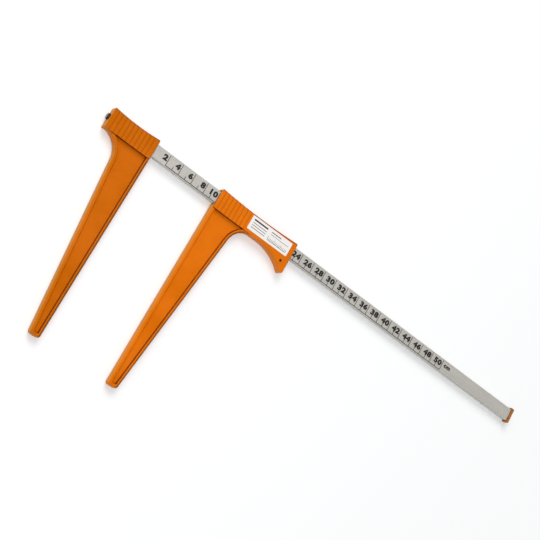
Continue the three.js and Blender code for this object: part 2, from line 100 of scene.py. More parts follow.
@dataclass
class Value:
    """An output of a shader node, by its name or number. Expressions on it add Math nodes."""

    shading: "Shading"
    node: bpy.types.Node
    output: int | str

    def combined(self, operation: str, first: Number, second: Number) -> "Value":
        """Combine two numbers in a Math node of an operation."""
        return self.shading.add("ShaderNodeMath", {0: first, 1: second}, operation=operation)

    def __add__(self, other: Number) -> "Value":
        """Add a number."""
        return self.combined("ADD", self, other)

    def __radd__(self, other: Number) -> "Value":
        """Add to a number."""
        return self.combined("ADD", other, self)

    def __sub__(self, other: Number) -> "Value":
        """Subtract a number."""
        return self.combined("SUBTRACT", self, other)

    def __rsub__(self, other: Number) -> "Value":
        """Subtract from a number."""
        return self.combined("SUBTRACT", other, self)

    def __mul__(self, other: Number) -> "Value":
        """Multiply by a number."""
        return self.combined("MULTIPLY", self, other)

    def higher(self, other: Number) -> "Value":
        """Give the higher of this and another number."""
        return self.combined("MAXIMUM", self, other)


@dataclass(frozen=True)
class Pattern:
    """A noise: its patches' size along x, y and z, its finer layers, and a shift to tell it apart."""

    size: Triple
    detail: float = 2.0
    shift: float = 0.0


class Shading:
    """The node tree of a material or of the world, filled node by node."""

    def __init__(self, tree: bpy.types.NodeTree) -> None:
        """Empty the tree."""
        self.tree = tree
        self.tree.nodes.clear()

    def add(self, kind: str, inputs: dict | None = None, output: int | str = 0, **settings: object) -> Value:
        """Add a node, with its settings first and its inputs after them.

        Args:
            kind: the node's type.
            inputs: constants or values for its inputs, by name or number.
            output: the output that is wanted, by name or number.
            settings: its properties.

        Returns:
            The output.
        """
        node = self.tree.nodes.new(kind)
        for name, setting in settings.items():
            setattr(node, name, setting)
        for name, given in (inputs or {}).items():
            socket = node.inputs[name]
            if isinstance(given, Value):
                self.tree.links.new(given.node.outputs[given.output], socket)
            else:
                socket.default_value = opaque(given) if socket.type == "RGBA" else given
        return Value(self, node, output)

    def noise(self, pattern: Pattern) -> Value:
        """Add a noise around 0.5, which may be stretched along an axis.

        Args:
            pattern: its sizes.

        Returns:
            The noise.
        """
        scale = tuple(1.0 / (MM * length) for length in pattern.size)
        given = {0: self.add("ShaderNodeTexCoord", output="Object"), 1: scale, 2: (pattern.shift,) * 3}
        stretched = self.add("ShaderNodeVectorMath", given, operation="MULTIPLY_ADD")
        given = {"Vector": stretched, "Scale": 1.0, "Detail": pattern.detail}
        return self.add("ShaderNodeTexNoise", given)

    def patches(self, pattern: Pattern, low: float, high: float) -> Value:
        """Turn a noise into a mask, as step does."""
        return self.step(self.noise(pattern), low, high)

    def step(self, value: Value, low: float, high: float) -> Value:
        """Turn a value into a mask that rises smoothly from 0 at its low limit to 1 at its high one."""
        given = {0: value, 1: low, 2: high, 3: 0.0, 4: 1.0}
        return self.add("ShaderNodeMapRange", given, interpolation_type="SMOOTHSTEP")

    def hollow(self, reach: float, inside: bool = False) -> Value:
        """Give a mask of the inner corners, or from inside of the outer edges. The reach is in mm."""
        settings = {"samples": 8, "inside": inside, "only_local": True}
        return 1.0 - self.add("ShaderNodeAmbientOcclusion", {"Distance": reach * MM}, "AO", **settings)

    def tilt(self, axis: int) -> Value:
        """Give how far a surface faces along an axis of its piece, from -1 to 1."""
        return self.add("ShaderNodeSeparateXYZ", {0: self.add("ShaderNodeTexCoord", output="Normal")}, axis)

    def ray(self, kind: str) -> Value:
        """Give 1 for the light path's rays of a kind and 0 for others."""
        return self.add("ShaderNodeLightPath", output=f"Is {kind} Ray")

    def blend(self, factor: Number, first: object, second: object) -> Value:
        """Mix two colours or outputs of colours. The factor is the share of the second."""
        return self.add("ShaderNodeMix", {0: factor, 6: first, 7: second}, 2, data_type="RGBA")

    def mixed(self, factor: Number, first: Value, second: Value) -> Value:
        """Mix two shaders, with the share of the second."""
        return self.add("ShaderNodeMixShader", {0: factor, 1: first, 2: second})

    def bump(self, height: Value, depth: float) -> Value:
        """Give a normal bumped by a height from 0 to 1, with a depth in millimetres."""
        return self.add("ShaderNodeBump", {"Strength": 1.0, "Distance": depth * MM, "Height": height})

    def close(self, inputs: dict) -> None:
        """Close the tree with a Principled shader and what its inputs get."""
        shader = self.add("ShaderNodeBsdfPrincipled", inputs)
        self.add("ShaderNodeOutputMaterial", {"Surface": shader})


@dataclass(frozen=True)
class Finish:
    """A finish with a name and the colour that it has in plain views."""

    name: str
    colour: Colour

    def paint(self, shading: Shading) -> None:
        """Fill the node tree. Each finish has its own way."""
        raise NotImplementedError

    def material(self) -> Material:
        """Make the material.

        Returns:
            The material.
        """
        made = bpy.data.materials.new(self.name)
        made.use_nodes = True
        made.diffuse_color = opaque(self.colour)
        self.paint(Shading(made.node_tree))
        return made


@dataclass(frozen=True)
class MouldedPlastic(Finish):
    """Moulded plastic with an etched grain, flow marks, scuffs and rubbed edges, painted shade in corners, on
    recess walls and on edges facing +x and +y, and a painted highlight on sides facing -x and -y.
    """

    # Colours: the first is painted shade, for hollows and for edges facing +x and +y; the second is rubbed
    # wear; the third is a painted highlight, for sides facing -x and -y.
    painted_shade: Colour = (0.12, 0.022, 0.002)
    rubbed_and_highlight: Colour = (0.86, 0.33, 0.03)
    painted_highlight: Colour = (0.6, 0.36, 0.07)
    roughness: float = 0.42
    specular: float = 0.15
    sheen: Colour = (1.0, 0.42, 0.06)
    grain: Pattern = Pattern((0.45, 0.45, 0.45), 3.0)
    grain_depth: float = 0.02
    flow: Pattern = Pattern((60.0, 38.0, 38.0), 3.0)
    long_scuffs: Pattern = Pattern((9.0, 0.35, 0.6), 2.0, 7.0)
    cross_scuffs: Pattern = Pattern((0.4, 7.0, 0.6), 2.0, 3.0)
    patches: Pattern = Pattern((24.0, 24.0, 24.0), 2.0, 5.0)
    darkened: float = 0.9
    paled: float = 1.06
    scuff_share: float = 0.22
    edge_share: float = 0.22
    edge_reach: float = 0.7
    wall_reach: float = 6.0
    corner_reach: float = 3.0
    # Below, the first two shares are of the painted highlight on sides facing -x and -y; the other four are
    # of painted shade: on edges facing +x, on edges facing +y, in corners and on recess walls.
    lit_side_share: float = 0.4
    tips_share: float = 0.5
    end_side_shade: float = 0.75
    grip_side_shade: float = 0.95
    corner_shade: float = 0.12
    recess_wall_shade: float = 0.9

    def paint(self, shading: Shading) -> None:
        """Lay wear, a painted highlight and painted shade over the moulded colour.

        Args:
            shading: the node tree.
        """
        flow = shading.patches(self.flow, 0.3, 0.7)
        grain = shading.noise(self.grain)
        long_scuffs = shading.patches(self.long_scuffs, 0.69, 0.76)
        cross_scuffs = shading.patches(self.cross_scuffs, 0.7, 0.77)
        worn_patches = shading.patches(self.patches, 0.45, 0.7)
        scuffs = long_scuffs.higher(cross_scuffs) * worn_patches
        darker = tuple(self.darkened * part for part in self.colour)
        paler = tuple(min(1.0, self.paled * part + 0.004) for part in self.colour)
        base = shading.blend(flow, darker, paler)
        base = shading.blend((grain - 0.5) * 0.25 + 0.1, base, darker)
        base = shading.blend(scuffs * self.scuff_share, base, self.rubbed_and_highlight)
        edges = shading.step(shading.hollow(self.edge_reach, True), 0.35, 0.75)
        base = shading.blend(edges * shading.step(grain, 0.35, 0.6) * self.edge_share, base, self.rubbed_and_highlight)
        along, across, up = (shading.tilt(axis) for axis in range(3))
        forward = shading.step(along, 0.02, 0.45)
        backward = shading.step(along * -1.0, 0.5, 0.95)
        towards_grips = shading.step(across, 0.14, 0.34)
        towards_tips = shading.step(across * -1.0, 0.3, 0.9)
        slanting = shading.step(up * up, 0.003, 0.04)
        upright = 1.0 - shading.step(up * up, 0.15, 0.6)
        enclosed = shading.step(shading.hollow(self.wall_reach), 0.03, 0.15)
        corners = shading.step(shading.hollow(self.corner_reach), 0.26, 0.36) * (1.0 - forward)
        # Painted highlight: sides facing -x and -y, towards the light and the white floor, are lightened to a
        # pale tan. Hollows are left out.
        lit_sides = backward.higher(towards_tips * self.tips_share) * (1.0 - enclosed)
        base = shading.blend(lit_sides * self.lit_side_share, base, self.painted_highlight)
        # Painted shade: slanting edges that face +x (the far end) and +y (the grips), away from the light,
        # are darkened. Hollows are left out.
        handled_and_shaded = (forward * self.end_side_shade).higher(towards_grips * self.grip_side_shade)
        base = shading.blend(handled_and_shaded * slanting * (1.0 - enclosed), base, self.painted_shade)
        # Painted shade: corners and upright walls in hollows, such as the legs' recesses and the ledges under
        # the heads, are blended towards the painted shade colour.
        inner_walls = enclosed * upright * (1.0 - forward)
        painted_hollow_shade = (corners * self.corner_shade).higher(inner_walls * self.recess_wall_shade)
        shading.close({
            "Base Color": shading.blend(painted_hollow_shade, base, self.painted_shade),
            "Roughness": self.roughness + grain * 0.08 + scuffs * 0.15 + corners * 0.12,
            "Specular IOR Level": self.specular,
            "Specular Tint": self.sheen,
            "Normal": shading.bump(grain + scuffs * 0.4, self.grain_depth),
        })


@dataclass(frozen=True)
class AnodisedBar(Finish):
    """Matt anodised aluminium with a fine speckle and faint lines along the bar."""

    colour: Colour = (0.6, 0.575, 0.53)
    dark: Colour = (0.44, 0.42, 0.385)
    scratched: Colour = (0.7, 0.69, 0.66)
    metallic: float = 0.35
    speckle: Pattern = Pattern((0.7, 0.7, 0.7), 3.0)
    lines: Pattern = Pattern((90.0, 0.16, 0.16), 2.0, 4.0)
    cloud: Pattern = Pattern((45.0, 9.0, 9.0), 2.0, 9.0)
    patches: Pattern = Pattern((18.0, 5.0, 5.0), 3.0, 2.0)
    scratches: Pattern = Pattern((6.0, 0.12, 0.4), 2.0, 6.0)
    mark_depth: float = 0.012

    def paint(self, shading: Shading) -> None:
        """Lay the speckle, the lines and some scratches over each other.

        Args:
            shading: the node tree.
        """
        speckle = shading.noise(self.speckle)
        lines = shading.noise(self.lines)
        marks = speckle * 0.6 + lines * 0.25 + shading.noise(self.cloud) * 0.15
        handled_and_shaded = shading.patches(self.patches, 0.5, 0.75)
        base = shading.blend(shading.step(marks, 0.36, 0.64), self.dark, self.colour)
        scratches = shading.patches(self.scratches, 0.72, 0.78) * handled_and_shaded
        shading.close({
            "Base Color": shading.blend(scratches * 0.5, base, self.scratched),
            "Metallic": self.metallic,
            "Roughness": 0.46 + speckle * 0.12 - scratches * 0.12 + handled_and_shaded * 0.04,
            "Normal": shading.bump(speckle * 0.6 + lines * 0.4, self.mark_depth),
        })


@dataclass(frozen=True)
class BareMetal(Finish):
    """A turned, pressed or blackened metal with fine tool marks, whose end face that faces -x may carry a
    painted highlight.
    """

    dark: Colour = (0.02, 0.02, 0.02)
    metallic: float = 1.0
    roughness: float = 0.32
    marks: Pattern = Pattern((0.12, 0.9, 0.9))
    stains: Pattern = Pattern((2.4, 2.4, 2.4), 3.0, 4.0)
    # The share and the colour of a painted highlight on the end face that faces -x.
    end_highlight: float = 0.0
    rubbed_and_highlight: Colour = (0.55, 0.47, 0.4)
    mark_depth: float = 0.006

    def paint(self, shading: Shading) -> None:
        """Lay stains and tool marks over the metal.

        Args:
            shading: the node tree.
        """
        marks = shading.noise(self.marks)
        stains = shading.patches(self.stains, 0.42, 0.68)
        base = shading.blend(stains * 0.7 + marks * 0.3, self.colour, self.dark)
        # Painted highlight: the end face that faces -x, such as the top of the fixed head's screw, is
        # lightened.
        end_face = shading.step(shading.tilt(0) * -1.0, 0.8, 0.95)
        shading.close({
            "Base Color": shading.blend(end_face * self.end_highlight, base, self.rubbed_and_highlight),
            "Metallic": self.metallic,
            "Roughness": self.roughness + marks * 0.12 + stains * 0.1,
            "Normal": shading.bump(marks, self.mark_depth),
        })


@dataclass(frozen=True)
class Nylon(Finish):
    """Black glide nylon, a little shiny where it has run."""

    colour: Colour = (0.018, 0.018, 0.02)
    run: Colour = (0.045, 0.044, 0.043)
    grain: Pattern = Pattern((0.3, 0.3, 0.3), 3.0)
    tracks: Pattern = Pattern((5.0, 0.3, 0.3), 2.0, 3.0)
    grain_depth: float = 0.012

    def paint(self, shading: Shading) -> None:
        """Lay the tracks over the nylon.

        Args:
            shading: the node tree.
        """
        grain = shading.noise(self.grain)
        tracks = shading.patches(self.tracks, 0.5, 0.8)
        shading.close({
            "Base Color": shading.blend(tracks, self.colour, self.run),
            "Roughness": 0.42 + grain * 0.2,
            "Normal": shading.bump(grain, self.grain_depth),
        })


@dataclass(frozen=True)
class Ink(Finish):
    """Printing ink, slightly thin where it has rubbed."""

    colour: Colour = (0.004, 0.004, 0.0042)
    thin: Colour = (0.10, 0.097, 0.093)
    grain: Pattern = Pattern((0.5, 0.5, 0.5), 3.0)
    patches: Pattern = Pattern((8.0, 1.4, 1.4), 3.0, 5.0)
    grain_depth: float = 0.004

    def paint(self, shading: Shading) -> None:
        """Let the ground show through in pinholes.

        Args:
            shading: the node tree.
        """
        grain = shading.noise(self.grain)
        rubbed_and_highlight = shading.patches(self.patches, 0.5, 0.75)
        pinholes = shading.step(grain, 0.6, 0.72) * (rubbed_and_highlight * 0.6 + 0.15)
        shading.close({
            "Base Color": shading.blend(pinholes, self.colour, self.thin),
            "Roughness": 0.42 + grain * 0.15,
            "Normal": shading.bump(grain, self.grain_depth),
        })


@dataclass(frozen=True)
class LabelPaper(Finish):
    """White laminated paper with faint fibres and a slightly soiled border."""

    colour: Colour = (0.88, 0.87, 0.88)
    soiled: Colour = (0.70, 0.64, 0.56)
    fibres: Pattern = Pattern((2.2, 0.25, 0.25), 3.0)
    cloud: Pattern = Pattern((14.0, 9.0, 9.0), 2.0, 4.0)
    border_reach: float = 0.9
    coat: Point = (0.25, 0.2)
    fibre_depth: float = 0.004

    def paint(self, shading: Shading) -> None:
        """Soil the paper in clouds and along its border.

        Args:
            shading: the node tree.
        """
        fibres = shading.noise(self.fibres)
        cloud = shading.patches(self.cloud, 0.42, 0.75)
        border = shading.step(shading.hollow(self.border_reach, True), 0.3, 0.9)
        base = shading.blend(cloud * 0.12 + fibres * 0.06, self.colour, self.soiled)
        coat_weight, coat_roughness = self.coat
        shading.close({
            "Base Color": shading.blend(border * 0.35, base, self.soiled),
            "Roughness": 0.3 + fibres * 0.12,
            "Coat Weight": coat_weight,
            "Coat Roughness": coat_roughness,
            "Normal": shading.bump(fibres, self.fibre_depth),
        })


@dataclass(frozen=True)
class FloorWhite(Finish):
    """White that keeps the caliper's shadow, and is plain white further away."""

    colour: Colour = (0.9, 0.9, 0.9)
    unseen: Colour = (0.97, 0.97, 0.97)
    seen: Colour = (0.872, 0.88, 0.885)
    glow: float = 0.04
    middle: Triple = (0.3, -0.1, 0.0)
    near: float = 0.38
    far: float = 0.8

    def paint(self, shading: Shading) -> None:
        """Show one white to the camera, and another to the light that bounces.

        Args:
            shading: the node tree.
        """
        unseen = shading.add("ShaderNodeBsdfDiffuse", {"Color": self.unseen})
        seen = shading.add("ShaderNodeBsdfDiffuse", {"Color": self.seen})
        glow = shading.add("ShaderNodeEmission", {"Color": WHITE, "Strength": self.glow})
        white = shading.add("ShaderNodeEmission", {"Color": WHITE, "Strength": 1.0})
        lifted = shading.add("ShaderNodeAddShader", {0: seen, 1: glow})
        place = shading.add("ShaderNodeTexCoord", output="Object")
        away = shading.add("ShaderNodeVectorMath", {0: place, 1: self.middle}, "Value", operation="DISTANCE")
        lifted = shading.mixed(shading.step(away, self.near, self.far), lifted, white)
        shown = shading.ray("Camera").higher(shading.ray("Glossy")).higher(shading.ray("Transmission"))
        shading.add("ShaderNodeOutputMaterial", {"Surface": shading.mixed(shown, unseen, lifted)})


@dataclass
class Outline:
    """A closed outline, drawn corner by corner."""

    points: list[Point] = field(default_factory=list)

    def to(self, x: float, y: float) -> "Outline":
        """Go straight to a corner, and give the outline."""
        self.points.append((x, y))
        return self

    def arc(self, centre: Point, radius: float, start: float, end: float, steps: int) -> "Outline":
        """Go along an arc.

        Args:
            centre: the arc's centre.
            radius: its radius.
            start: its first angle, in radians.
            end: its last angle.
            steps: its number of straight pieces.

        Returns:
            The outline.
        """
        for step in range(steps + 1):
            angle = start + (end - start) * step / steps
            self.to(centre[0] + radius * math.cos(angle), centre[1] + radius * math.sin(angle))
        return self

    def rounded(self, corner: Point, ahead: Point, radius: float, steps: int = 5) -> "Outline":
        """Go to a corner and round it towards the next point.

        Args:
            corner: the corner.
            ahead: a point on the line that follows it.
            radius: the rounding's radius.
            steps: its number of straight pieces.

        Returns:
            The outline.
        """
        corner_point = Vector(corner)
        back = (Vector(self.points[-1]) - corner_point).normalized()
        onward = (Vector(ahead) - corner_point).normalized()
        half = math.acos(back.dot(onward)) / 2
        centre = corner_point + (back + onward).normalized() * (radius / math.sin(half))
        first = corner_point + back * (radius / math.tan(half)) - centre
        turn = (math.pi - 2 * half) * (-1 if back.cross(onward) > 0 else 1)
        start = math.atan2(first.y, first.x)
        return self.arc((centre.x, centre.y), radius, start, start + turn, steps)

    def inset(self, distances: Sequence[float]) -> list[Point]:
        """Move the outline inwards.

        Args:
            distances: how far each point's two sides move, outwards below 0.

        Returns:
            The moved points.
        """
        points = self.points
        count = len(points)
        around = sum(
            points[i - 1][0] * points[i][1] - points[i][0] * points[i - 1][1] for i in range(count)
        )
        side = 1.0 if around > 0 else -1.0
        moved = []
        for i, (x, y) in enumerate(points):
            before = Vector((x - points[i - 1][0], y - points[i - 1][1])).normalized()
            after_x, after_y = points[(i + 1) % count]
            after = Vector((after_x - x, after_y - y)).normalized()
            normal_before = Vector((-before.y, before.x)) * side
            normal_after = Vector((-after.y, after.x)) * side
            mitre = (normal_before + normal_after) / (1.0 + normal_before.dot(normal_after))
            moved.append((x + mitre.x * distances[i], y + mitre.y * distances[i]))
        return moved


def round_rectangle(
    width: float, height: float, radius: float, middle: Point = (0.0, 0.0), steps: int = 5
) -> Outline:
    """Draw a rectangle with round corners.

    Args:
        width: its width.
        height: its height.
        radius: its corners' radius.
        middle: its middle.
        steps: the number of straight pieces in each corner.

    Returns:
        The outline.
    """
    x, y = width / 2 - radius, height / 2 - radius
    outline = Outline()
    for quarter, (a, b) in enumerate(((x, y), (-x, y), (-x, -y), (x, -y))):
        start = quarter * math.pi / 2
        outline.arc((middle[0] + a, middle[1] + b), radius, start, start + math.pi / 2, steps)
    return outline


def linked(name: str, skin: bmesh.types.BMesh) -> Piece:
    """Turn a skin into an object of the scene, and drop the skin.

    Args:
        name: the object's name.
        skin: the skin.

    Returns:
        The object.
    """
    mesh = bpy.data.meshes.new(name)
    skin.to_mesh(mesh)
    skin.free()
    piece = bpy.data.objects.new(name, mesh)
    bpy.context.scene.collection.objects.link(piece)
    return piece


def rectangle(x: Point, y: Point) -> list[Point]:
    """Give the corners of a rectangle from its ends along x and y."""
    return [(x[0], y[0]), (x[1], y[0]), (x[1], y[1]), (x[0], y[1])]


def strips(name: str, spans: Iterable[tuple[Point, Point]], levels: Point) -> Piece:
    """Make printed strips.

    Args:
        name: the object's name.
        spans: each strip's ends along x and y.
        levels: the print's lower and upper level.

    Returns:
        The object.
    """
    skin = bmesh.new()
    for x, y in spans:
        corners = rectangle(x, y)
        low, high = ([skin.verts.new(Vector((*corner, z)) * MM) for corner in corners] for z in levels)
        skin.faces.new(reversed(low))
        skin.faces.new(high)
        for i in range(4):
            skin.faces.new((low[i - 1], low[i], high[i], high[i - 1]))
    return linked(name, skin)


class Solid:
    """A closed mesh object that can be joined to others and cut."""

    def __init__(self, name: str, rings: Sequence[Sequence[Triple]], ends: bool = True) -> None:
        """Skin rings of equal point counts.

        Args:
            name: the object's name.
            rings: the rings, in millimetres.
            ends: whether the first and last ring are closed, or else joined to each other.
        """
        skin = bmesh.new()
        rows = [[skin.verts.new(Vector(point) * MM) for point in ring] for ring in rings]
        pairs = list(zip(rows, rows[1:]))
        if ends:
            skin.faces.new(rows[0])
            skin.faces.new(rows[-1])
        else:
            pairs.append((rows[-1], rows[0]))
        for low, high in pairs:
            for i, point in enumerate(low):
                skin.faces.new((low[i - 1], point, high[i], high[i - 1]))
        bmesh.ops.recalc_face_normals(skin, faces=skin.faces)
        self.piece = linked(name, skin)

    def combine(self, how: Join, others: Iterable["Solid"]) -> "Solid":
        """Join other solids to this one or cut them out of it, and drop them.

        Args:
            how: whether to join or to cut.
            others: the other solids.

        Returns:
            This solid.
        """
        for other in others:
            modifier = self.piece.modifiers.new(how.name, "BOOLEAN")
            modifier.operation = how.value
            modifier.solver = "MANIFOLD"
            modifier.object = other.piece
            graph = bpy.context.evaluated_depsgraph_get()
            mesh = bpy.data.meshes.new_from_object(self.piece.evaluated_get(graph))
            self.piece.modifiers.clear()
            self.piece.data = mesh
            bpy.data.objects.remove(other.piece)
        return self

    def smoothed(self, sharp_angle: float = 32.0) -> Piece:
        """Shade the solid smooth, with sharp edges above an angle.

        Args:
            sharp_angle: the angle, in degrees.

        Returns:
            The solid's object.
        """
        mesh = self.piece.data
        mesh.shade_smooth()
        mesh.set_sharp_from_angle(angle=math.radians(sharp_angle))
        weights = self.piece.modifiers.new("even shading", "WEIGHTED_NORMAL")
        weights.keep_sharp = True
        return self.piece


def coat(piece: Piece, finish: Material) -> None:
    """Give an object one material."""
    piece.data.materials.clear()
    piece.data.materials.append(finish)


def fitted(
    piece: Piece, finish: Material, body: str, node: str | None = None
) -> Piece:
    """Give a piece its finish and its place in the frame.

    Args:
        piece: the piece.
        finish: its material.
        body: the body that it rides on.
        node: the node that it replaces, if there is one.

    Returns:
        The piece.
    """
    coat(piece, finish)
    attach(piece, body)
    if node:
        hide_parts(node)
    return piece


def block(x: Point, y: Point, z: Point) -> Solid:
    """Make a cutter with flat sides from its ends along each axis."""
    return Solid("cutter", [[(*corner, level) for corner in rectangle(x, y)] for level in z])


def around(middle: float, half: float) -> Point:
    """Give the ends of a length around its middle."""
    return (middle - half, middle + half)


def turned_rings(profile: Sequence[Point], start: Triple, along: Along, sides: int) -> list[list[Triple]]:
    """Turn a profile about an axis.

    Args:
        profile: distances along the axis and radii.
        start: where the axis starts.
        along: the axis's direction.
        sides: the number of sides.

    Returns:
        The rings.
    """
    axis = Vector(along.value)
    first = Vector((0.0, 0.0, 1.0)) if abs(axis.z) < 0.5 else Vector((1.0, 0.0, 0.0))
    second = axis.cross(first)
    rings = []
    for distance, radius in profile:
        centre = Vector(start) + axis * distance
        ring = []
        for side in range(sides):
            angle = math.tau * side / sides
            across = centre + first * (radius * math.cos(angle))
            ring.append(tuple(across + second * (radius * math.sin(angle))))
        rings.append(ring)
    return rings


def rod(start: Triple, along: Along, length: float, radius: float, sides: int = 40) -> Solid:
    """Make a cutter with even sides from the middle of its first end. The radius is its corners'."""
    return Solid("cutter", turned_rings([(0.0, radius), (length, radius)], start, along, sides))


def rounded_edge(half: float, radius: float, steps: int) -> list[Point]:
    """Give pairs of inset and level along a slab's rounded upper edge, from its side to its face."""
    angles = [math.pi / 2 * step / steps for step in range(steps + 1)]
    return [(radius * (1 - math.cos(a)), half - radius * (1 - math.sin(a))) for a in angles]


@dataclass
class Jaw:
    """What both jaws share: the rimmed leg, the head's slab and the grooves between its ribs."""

    finish: Material
    node: str
    body: str
    face: float
    outwards: int
    head_length: float
    head_top: float
    head_dip: float
    fillet: float
    rib_start: float
    rib_pitch: float
    rib_grooves: int
    tip_y: float = -270.25
    tip_width: float = 14.5
    tip_radii: Point = (3.4, 4.0)
    recess_radius: float = 1.5
    slope: float = 29.9 / 261.5
    leg_top: float = -8.95
    leg_half: float = 5.0
    leg_edge: float = 3.3
    back_edge: float = 1.2
    top_edge: float = 0.8
    full_round: float = -18.0
    fillet_end: float = math.radians(92.0)
    rim: float = 4.4
    web_half: float = 1.5
    draft: float = 0.8
    foot: float = 0.4
    lip: float = 0.35
    head_lead: float = 1.0
    head_half: float = 7.0
    head_bottom: float = -14.45
    bottom_corner: float = 1.2
    top_corner: float = 1.6
    top_margin: float = 2.0
    edge: float = 0.9
    top_round: float = 2.0
    groove_depth: float = 0.36
    groove_width: float = 4.4
    groove_over: float = 0.02
    groove_clear: float = 0.6

    def lean(self) -> float:
        """Give the outer line's angle from the beam's normal."""
        return math.atan(self.slope)

    def outer_line(self, y: float, inset: float) -> float:
        """Give the leg's width at a height, less an inset."""
        return self.tip_width + self.slope * (y - self.tip_y) - inset / math.cos(self.lean())

    def leg_outline(self, inset: float, inner_radius: float, outer_radius: float) -> Outline:
        """Draw the leg or its recess, from the measuring face outwards.

        Args:
            inset: how far it lies inside the leg's outline.
            inner_radius: the tip's radius at the measuring face.
            outer_radius: the tip's radius at the outer line.

        Returns:
            The outline.
        """
        bottom = self.tip_y + inset
        centre_y = self.head_bottom - self.fillet
        radius = self.fillet + inset
        centre_x = self.outer_line(centre_y, inset) + radius / math.cos(self.lean())
        leg_end = centre_x + radius * math.cos(self.fillet_end)
        inner, outer = (inset, bottom), (self.outer_line(bottom, inset), bottom)
        outline = Outline().to(leg_end, self.leg_top)
        outline.rounded((inset, self.leg_top), inner, self.edge, 3)
        outline.to(inset, self.full_round)
        outline.rounded(inner, outer, inner_radius)
        outline.rounded(outer, (self.outer_line(0.0, inset), 0.0), outer_radius)
        return outline.arc((centre_x, centre_y), radius, math.pi - self.lean(), self.fillet_end, 20)

    def placed(self, points: Sequence[Point], level: float) -> list[Triple]:
        """Put points drawn from the measuring face into the part's frame, at a level."""
        return [(self.face + self.outwards * u, y, MID_PLANE + level) for u, y in points]

    def leg(self) -> Solid:
        """Build the leg with its recess on both sides.

        Returns:
            The leg.
        """
        outside = self.leg_outline(0.0, *self.tip_radii)
        recess = self.leg_outline(self.rim, self.recess_radius, self.recess_radius)
        front = [(outside, *pair) for pair in rounded_edge(self.leg_half, self.leg_edge, 6)]
        back = [(outside, *pair) for pair in rounded_edge(self.leg_half, self.back_edge, 6)]
        turn = [math.pi / 6 * step for step in range(4)]
        inner = []
        for angle in reversed(turn):
            level = self.leg_half - self.lip * (1 - math.sin(angle))
            inner.append((recess, -self.lip * math.sin(angle), level))
        for angle in turn:
            inset = self.draft + self.foot * (1 - math.cos(angle))
            inner.append((recess, inset, self.web_half + self.foot * (1 - math.sin(angle))))
        lower = [(outline, inset, -level) for outline, inset, level in reversed(back + inner)]
        limit = self.full_round + 1.0
        rings = []
        for outline, inset, level in lower + front + inner:
            insets = [min(inset, self.top_edge) if y > limit else inset for _, y in outline.points]
            rings.append(self.placed(outline.inset(insets), level))
        return Solid("leg", rings)

    def far_corner(self, outline: Outline, end: float) -> None:
        """Carry the head's outline round its lower far corner. Each jaw has its own."""
        raise NotImplementedError

    def head_outline(self) -> Outline:
        """Draw the head, from the measuring face outwards and back along its hollow top.

        Returns:
            The outline.
        """
        end = self.head_lead + self.head_length
        outline = Outline().to(self.head_lead, 0.0)
        outline.rounded((self.head_lead, self.head_bottom), (end, self.head_bottom), self.bottom_corner)
        self.far_corner(outline, end)
        half = (end - self.head_lead) / 2
        radius = (half * half + self.head_dip**2) / (2 * self.head_dip)
        swing = math.asin(half / radius)
        centre = (self.head_lead + half, self.head_top - self.head_dip + radius)
        start = -math.pi / 2 + swing
        margin = self.top_margin / radius
        near_top, after = (
            (centre[0] + radius * math.cos(angle), centre[1] + radius * math.sin(angle))
            for angle in (start, start - margin)
        )
        outline.rounded(near_top, after, self.top_corner)
        outline.arc(centre, radius, start - margin, -math.pi / 2 - swing + margin, 28)
        return outline.rounded((self.head_lead, self.head_top), (self.head_lead, 0.0), self.top_corner)

    def head_edges(self, outline: Outline) -> list[float]:
        """Give the edge radius at each point of a head, where the grip side is rounder.

        Args:
            outline: the head's outline.

        Returns:
            The edge radius at each point.
        """
        points = outline.points
        widths = []
        for index, (_, y) in enumerate(points):
            before, after = points[index - 1], points[(index + 1) % len(points)]
            run = abs(after[0] - before[0]) / math.dist(before, after) if y > 0.0 else 0.0
            widths.append(self.edge + (self.top_round - self.edge) * run**2)
        return widths

    def head(self) -> Solid:
        """Build the head's slab with rounded edges.

        Returns:
            The head.
        """
        outline = self.head_outline()
        widths = self.head_edges(outline)
        upper = rounded_edge(1.0, 1.0, 5)
        rings = []
        for inset, level in [(inset, -level) for inset, level in reversed(upper)] + upper:
            side = 1 if level > 0 else -1
            points = outline.inset([inset * width for width in widths])
            ring = []
            for point, width in zip(points, widths):
                ring.extend(self.placed([point], side * (self.head_half - width * (1 - abs(level)))))
            rings.append(ring)
        return Solid("head", rings)

    def ribs(self) -> list[Solid]:
        """Make the cutters of the grooves between the ribs, on both faces of the head.

        Returns:
            The cutters.
        """
        cutters = []
        steps = 12
        top = self.head_half + self.groove_over
        for number in range(self.rib_grooves):
            middle = SCALE_ZERO + self.rib_start + self.rib_pitch * number
            left, right = around(middle, self.groove_width / 2)
            section = [(left, self.head_half + self.groove_clear)]
            for step in range(steps + 1):
                turn = 2 * step / steps - 1
                dip = (self.groove_depth + self.groove_over) * (1 + math.cos(math.pi * turn)) / 2
                section.append((middle + turn * self.groove_width / 2, top - dip))
            section.append((right, self.head_half + self.groove_clear))
            for side in (-1, 1):
                ends = (self.head_bottom - 1.0, self.head_top + 1.0)
                rings = [[(x, y, MID_PLANE + side * level) for x, level in section] for y in ends]
                cutters.append(Solid("cutter", rings))
        return cutters

    def cuts(self) -> list[Solid]:
        """Make the cutters of the holes for the beam and the fittings. Each jaw has its own."""
        raise NotImplementedError

    def build(self) -> Piece:
        """Build the whole jaw.

        Returns:
            The piece.
        """
        solid = self.head().combine(Join.ADD, [self.leg()]).combine(Join.CUT, self.ribs() + self.cuts())
        solid.piece.name = f"{self.node}_moulding"
        return fitted(solid.smoothed(), self.finish, self.body, self.node)


